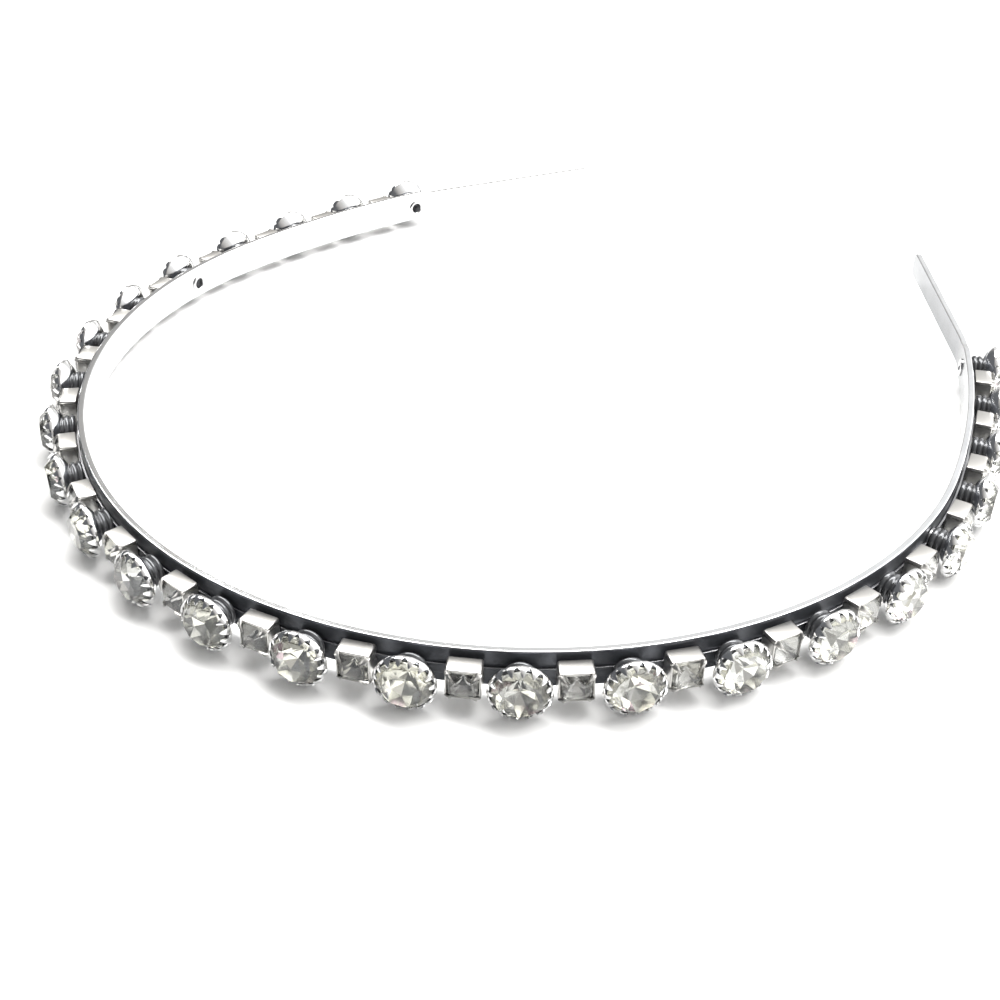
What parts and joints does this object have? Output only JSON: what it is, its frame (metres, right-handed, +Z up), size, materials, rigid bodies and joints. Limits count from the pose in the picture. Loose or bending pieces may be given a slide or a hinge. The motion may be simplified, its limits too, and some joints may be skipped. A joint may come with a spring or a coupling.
{
  "type": "rhinestone headband",
  "caption": "Springy metal headband, a flat band bent to an open U with a row of round and square glass stones in toothed and boxed settings along its outer face.",
  "frame": {"origin": "on the floor that the headband lies on, under the middle of its box", "axes": "+Z up from the floor, across the band's edge; the row's middle stone faces -Y, the open end faces +Y and the arms stand left and right along X"},
  "size_m": [0.1478, 0.1552, 0.008],
  "materials": {
    "band_metal": "polished spring steel with a bright plating",
    "strip_metal": "plated flat strip, satin",
    "rivet_metal": "plated hollow rivet, rolled bright flange",
    "round_setting_metal": "plated pressed cup, polished teeth",
    "square_setting_metal": "plated box with satin plates and bright folded corners",
    "clear_stone": "clear foil-backed cut glass",
    "smoky_stone": "grey foil-backed cut glass"
  },
  "bodies": {
    "root": {"band": "band_metal", "carrier_strip": "strip_metal", "rivet_1": "rivet_metal", "rivet_2": "rivet_metal", "rivet_3": "rivet_metal", "rivet_4": "rivet_metal", "round_setting_01": "round_setting_metal", "round_setting_02": "round_setting_metal", "round_setting_03": "round_setting_metal", "round_setting_04": "round_setting_metal", "round_setting_05": "round_setting_metal", "round_setting_06": "round_setting_metal", "round_setting_07": "round_setting_metal", "round_setting_08": "round_setting_metal", "round_setting_09": "round_setting_metal", "round_setting_10": "round_setting_metal", "round_setting_11": "round_setting_metal", "round_setting_12": "round_setting_metal", "round_setting_13": "round_setting_metal", "round_setting_14": "round_setting_metal", "round_setting_15": "round_setting_metal", "round_setting_16": "round_setting_metal", "round_setting_17": "round_setting_metal", "round_setting_18": "round_setting_metal", "round_setting_19": "round_setting_metal", "round_setting_20": "round_setting_metal", "round_setting_21": "round_setting_metal", "round_setting_22": "round_setting_metal", "round_setting_23": "round_setting_metal", "round_setting_24": "round_setting_metal", "round_setting_25": "round_setting_metal", "square_settings_1": "square_setting_metal", "square_settings_2": "square_setting_metal", "square_settings_3": "square_setting_metal", "square_settings_4": "square_setting_metal", "square_settings_5": "square_setting_metal", "square_settings_6": "square_setting_metal", "round_stones_1": "clear_stone", "round_stones_2": "clear_stone", "round_stones_3": "clear_stone", "round_stones_4": "clear_stone", "round_stones_5": "clear_stone", "square_stones_1": "smoky_stone", "square_stones_2": "smoky_stone", "square_stones_3": "smoky_stone", "square_stones_4": "smoky_stone", "square_stones_5": "smoky_stone", "square_stones_6": "smoky_stone"}
  },
  "joints": []
}
